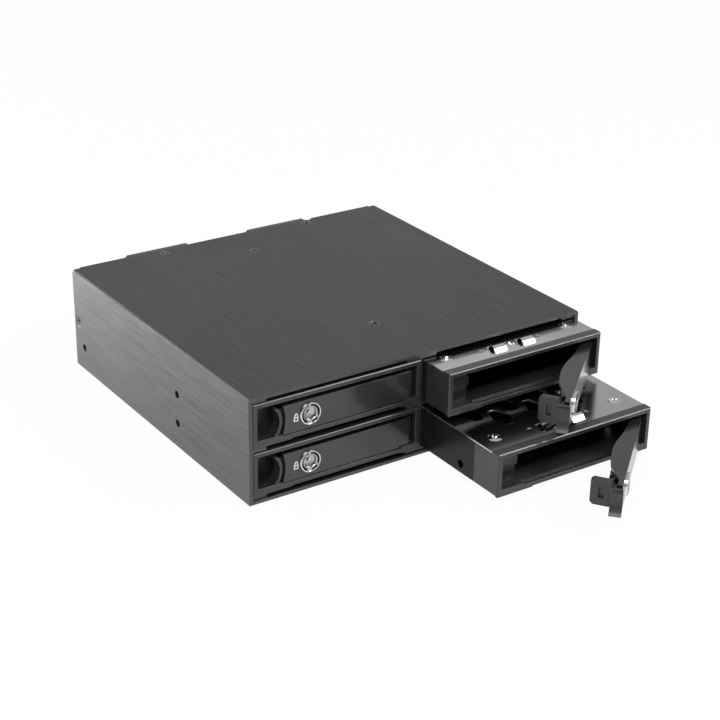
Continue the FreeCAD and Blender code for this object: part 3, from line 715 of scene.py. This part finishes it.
def lock_barrel(bay):
    """Barrel for a tubular key: collar, dished face, centre post, lugs in the groove and the cam."""
    node = bay + "_lock_barrel"
    place = lock_place(bay)
    back = 0.0042
    hollow = 0.0024
    post = 0.0007
    form = bmesh.new()
    lathe(form, [(back, groove_wall), (groove_floor, groove_wall), (groove_floor, collar),
                 (-0.0006, collar), (-0.00076, collar - 0.0001), (-0.0008, collar - 0.00025),
                 (-0.00074, hollow + 0.00015), (-0.00055, hollow), (0.0006, hollow), (0.001, 0.0016),
                 (0.0011, post), (-0.0001, post), (-0.0002, post - 0.0001), (-0.0002, near_axis),
                 (back, near_axis)], lock_sides, place)
    # Each lug's place, in degrees upwards from the hinge's side, and half of its width
    for degrees, half in ((97, 0.00035), (-97, 0.001), (-32, 0.0005)):
        turn = Matrix.Rotation(-math.radians(degrees), 4, "Y")
        block(form, (collar - 0.0001, -0.0007, -half), (0.00358, 0.001, half), place @ turn)
    cam_half = 0.0012
    cam_front = 0.0048
    cam_back = 0.0058
    cam_top = 0.0034
    boss = 0.0023
    block(form, (-cam_half, cam_front, 0.0), (cam_half, cam_back, cam_top), place)
    lathe(form, [(back, boss), (cam_back, boss), (cam_back, near_axis), (back, near_axis)],
          lock_sides // 2, place)
    stand_in(mesh_object(node + "_dressed", form), node, "lock_steel")


def lock_groove_shade(bay):
    """Painted shade in the key's groove: a dark lining on its floor, and a sleeve round the collar."""
    sleeve = collar + 0.00006
    sleeve_top = -0.00052
    form = bmesh.new()
    lathe(form, [(groove_floor, groove_wall), (0.0001, groove_wall), (0.0001, sleeve),
                 (sleeve_top, sleeve), (sleeve_top, collar + 0.00002),
                 (groove_floor, collar + 0.00002)], lock_sides, lock_place(bay))
    # The lining is painted shade, a dark sheet where the groove would be in shadow, and no part of the lock
    seat(mesh_object(bay + "_lock_groove_shade", form), bay + "_lock", "recess_black")


def lock_sign(bay):
    """Plain printed padlock beside the lock: four bars for its body, and an arch."""
    place = lock_place(bay) @ Matrix.Translation((-0.0056, -0.00004, -0.0006))
    half = 0.00095
    low = -0.0014
    high = 0.0003
    line = 0.00042
    thickness = 0.00003
    form = bmesh.new()
    for x0, x1, z0, z1 in ((-half, half, low, low + line), (-half, half, high - line, high),
                           (-half, -half + line, low + line, high - line),
                           (half - line, half, low + line, high - line)):
        block(form, (x0, 0.0, z0), (x1, thickness, z1), place)
    radius = 0.00085
    stretch = 0.0006
    steps = 14
    arch = []
    for number in range(steps + 1):
        angle = math.pi * number / steps
        section = ((radius, 0.0), (radius, thickness), (radius - line, thickness), (radius - line, 0.0))
        arch.append([form.verts.new(place @ Vector((
            math.cos(angle) * r, y, high + math.sin(angle) * (r + stretch)))) for r, y in section])
    closed_tube(form, arch)
    seat(mesh_object(bay + "_lock_sign", form), bay + "_door", "print_white")


for bay in bays:
    lock_ring(bay)
    lock_barrel(bay)
    lock_groove_shade(bay)
    lock_sign(bay)


# ---- connectors ----
def socket_contacts():
    """A row of gilt contacts low in the mouth of each drive connector."""
    inset = Vector((0, -0.003, -0.0003))
    rows = [(low + high) / 2 + inset for low, high in islands("drive_connectors")]
    piece = contacts.grow("socket_contacts", point_mesh("socket_rows", rows), "contact_gold",
                          {"Count": 22, "Pitch": 0.00127, "Size": (0.0007, 0.0045, 0.0001)})
    seat(piece, "housing", "contact_gold")


# ---- fans ----
def fan_blade(root, tip, depth):
    """One thin curved blade, from the hub outwards, twisted along its length."""
    root_pitch = 52
    tip_pitch = 36
    belly = 0.0009
    sweep = 0.0022
    across = 8
    along = 10
    form = bmesh.new()
    grid = []
    for number in range(along + 1):
        reach = number / along
        radius = root + (tip - root) * reach
        pitch = math.radians(root_pitch + (tip_pitch - root_pitch) * reach)
        row = []
        for step in range(across + 1):
            chord = (step / across - 0.5) * depth / math.sin(pitch)
            camber = belly * (1 - (2 * step / across - 1) ** 2)
            x = chord * math.cos(pitch) - camber * math.sin(pitch) + sweep * reach ** 2
            y = chord * math.sin(pitch) + camber * math.cos(pitch)
            row.append(form.verts.new((x, y, math.sqrt(max(radius ** 2 - x ** 2, 0)))))
        grid.append(row)
    for near, far in zip(grid, grid[1:]):
        for a in range(across):
            form.faces.new((near[a], near[a + 1], far[a + 1], far[a]))
    bmesh.ops.recalc_face_normals(form, faces=form.faces)
    bmesh.ops.solidify(form, geom=form.faces, thickness=0.0006)
    number_faces(form)
    return mesh_of(form, "fan_blade")


def fan_rotor(side):
    """Blades round a hub with a rounded face, on its shaft."""
    node = side + "_fan_rotor"
    low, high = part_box(node)
    spin = Vector(joints[side + "_fan_spin"]["pos_m"])
    depth = 0.0068
    hub = 0.007
    shaft = 0.001
    bore = 0.0002
    blade = fan_blade(root=0.0067, tip=0.013, depth=depth * 0.84)
    blades = turned_copies.grow(node + "_dressed", blade, "plastic_black",
                                {"Count": 7, "Centre": (spin.x, low.y + depth / 2, spin.z)})
    form = bmesh.new()
    form.from_mesh(blades.data)
    bpy.data.objects.remove(blades)
    end = high.y - low.y
    lathe(form, [(0.0, 0.0062), (0.0006, 0.0068), (0.0012, hub), (depth, hub), (depth, shaft),
                 (end, shaft), (end, bore), (0.0, bore)],
          sides=48, place=Matrix.Translation((spin.x, low.y, spin.z)))
    stand_in(mesh_object(node + "_dressed", form), node, "plastic_black")


socket_contacts()
for side in ("left", "right"):
    fan_rotor(side)

# ---- nodes that keep their shape ----
for node, thing in frame["nodes"].items():
    dress(thing, "tray_black" if node.endswith("hinge_pin") else slot_of[node])


# ---- camera, floor, lamps and surroundings ----
def camera():
    """Camera that looks down on the front left corner, with a slight roll."""
    place = (-0.33422, -0.52291, 0.30009)
    azimuth = math.radians(34.09)
    elevation = math.radians(24.965)
    roll = math.radians(0.948)
    ahead = Vector((math.sin(azimuth) * math.cos(elevation), math.cos(azimuth) * math.cos(elevation),
                    -math.sin(elevation)))
    level = Vector((math.cos(azimuth), -math.sin(azimuth), 0))
    right = level * math.cos(roll) + level.cross(ahead) * math.sin(roll)
    turn = Matrix((right, right.cross(ahead), -ahead)).transposed().to_4x4()
    lens = bpy.data.cameras.new("camera")
    lens.sensor_width = 36.0
    lens.lens = 85.79
    lens.clip_start = 0.01
    lens.clip_end = 20.0
    eye = scene_object("camera", lens)
    eye.matrix_world = Matrix.Translation(place) @ turn
    bpy.context.scene.camera = eye


def paper(name, shadow, mirrored):
    """White to the camera.

    Shadow is the share of real shading in it, and mirrored the share of white in reflections.
    """
    finish = Finish(name)
    seen = finish.ray("Camera") + finish.ray("Glossy") * mirrored + finish.ray("Transmission")
    share = finish.add("ShaderNodeMath", {"operation": "MULTIPLY", "use_clamp": True}, (seen, 1 - shadow))
    plain = finish.add("ShaderNodeBsdfDiffuse", {}, {"Color": (0.86, 0.86, 0.86, 1)})
    glow = finish.add("ShaderNodeEmission", {}, {"Color": (1, 1, 1, 1), "Strength": 1.0})
    mixed = finish.add("ShaderNodeMixShader", {}, {0: share, 1: plain, 2: glow})
    finish.end("ShaderNodeOutputMaterial", "Surface", mixed)


def stage():
    """Wide paper floor, just under the object."""
    reach = 6.0
    gap = 0.0002
    form = bmesh.new()
    bmesh.ops.create_grid(form, x_segments=1, y_segments=1, size=reach)
    floor = scene_object("floor", mesh_of(form, "floor"))
    floor.location.z = -gap
    paper("floor_paper", shadow=0.04, mirrored=0.5)
    dress(floor, "floor_paper")


def lamp(name, place, target, size, power):
    """Rectangular lamp that looks at a target."""
    light = bpy.data.lights.new(name, "AREA")
    light.shape = "RECTANGLE"
    light.size, light.size_y = size
    light.energy = power
    thing = scene_object(name, light)
    thing.location = place
    thing.rotation_euler = (Vector(target) - Vector(place)).to_track_quat("-Z", "Y").to_euler()


def surroundings(strength):
    """Plain light of a strength from all sides, and white behind everything."""
    world = bpy.data.worlds.new("studio")
    bpy.context.scene.world = world
    world.use_nodes = True
    world.node_tree.nodes.clear()
    room = Nodes(world.node_tree)
    plain, white = (room.add("ShaderNodeBackground", {}, {"Color": (1, 1, 1, 1), "Strength": level})
                    for level in (strength, 1.0))
    shown = room.add("ShaderNodeMixShader", {}, {0: room.ray("Camera"), 1: plain, 2: white})
    room.end("ShaderNodeOutputWorld", "Surface", shown)


camera()
stage()
surroundings(strength=0.44)
lamp("key", place=(-0.5, -0.9, 1.2), target=(0, -0.02, 0.02), size=(0.9, 0.6), power=11.0)
lamp("side", place=(-0.35, 0.55, 0.02), target=(-0.07, 0.08, 0.02), size=(0.25, 0.036), power=6.6)
lamp("sky", place=(0.75, 1.6, 0.85), target=(0, 0, 0.02), size=(1.2, 0.8), power=0.5)
lamp("edges", place=(0.75, -0.7, 0.95), target=(0.03, -0.03, 0.02), size=(0.45, 0.45), power=7.0)
bpy.context.scene.view_settings.view_transform = "Standard"
